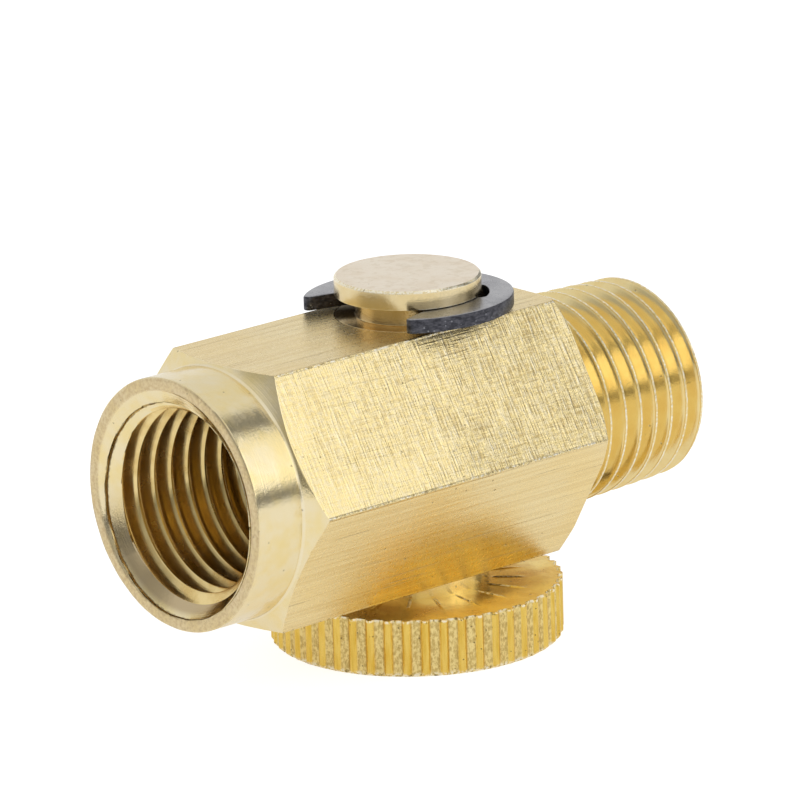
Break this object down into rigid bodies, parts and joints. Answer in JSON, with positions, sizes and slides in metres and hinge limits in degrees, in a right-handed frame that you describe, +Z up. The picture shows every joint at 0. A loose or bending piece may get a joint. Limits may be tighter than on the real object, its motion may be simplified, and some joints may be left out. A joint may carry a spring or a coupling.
{
  "type": "in-line rotary regulating valve",
  "caption": "Small in-line brass valve: hexagon body, female port one end, male port the other, and a knurled knob turning a cross-drilled plug held by a clip.",
  "frame": {"origin": "centre of the knob's flat underside, on the spindle axis", "axes": "+Z up along the spindle axis from the knob to the clip; +X along the flow axis from the female port to the male port"},
  "size_m": [0.0379, 0.0184, 0.023],
  "materials": {
    "body_brass": "satin",
    "plug_brass": "satin",
    "knob_brass": "satin",
    "black_steel": "satin",
    "seal_rubber": "matte"
  },
  "bodies": {
    "housing": {"valve_body": "body_brass"},
    "spindle": {"rotary_plug": "plug_brass", "control_knob": "knob_brass", "retaining_clip": "black_steel", "upper_o_ring": "seal_rubber", "lower_o_ring": "seal_rubber"}
  },
  "joints": [
    {"name": "knob_turn", "type": "hinge", "parent": "housing", "child": "spindle", "pos_m": [0, 0, 0.0125], "axis": [0, 0, 1], "continuous": true}
  ]
}
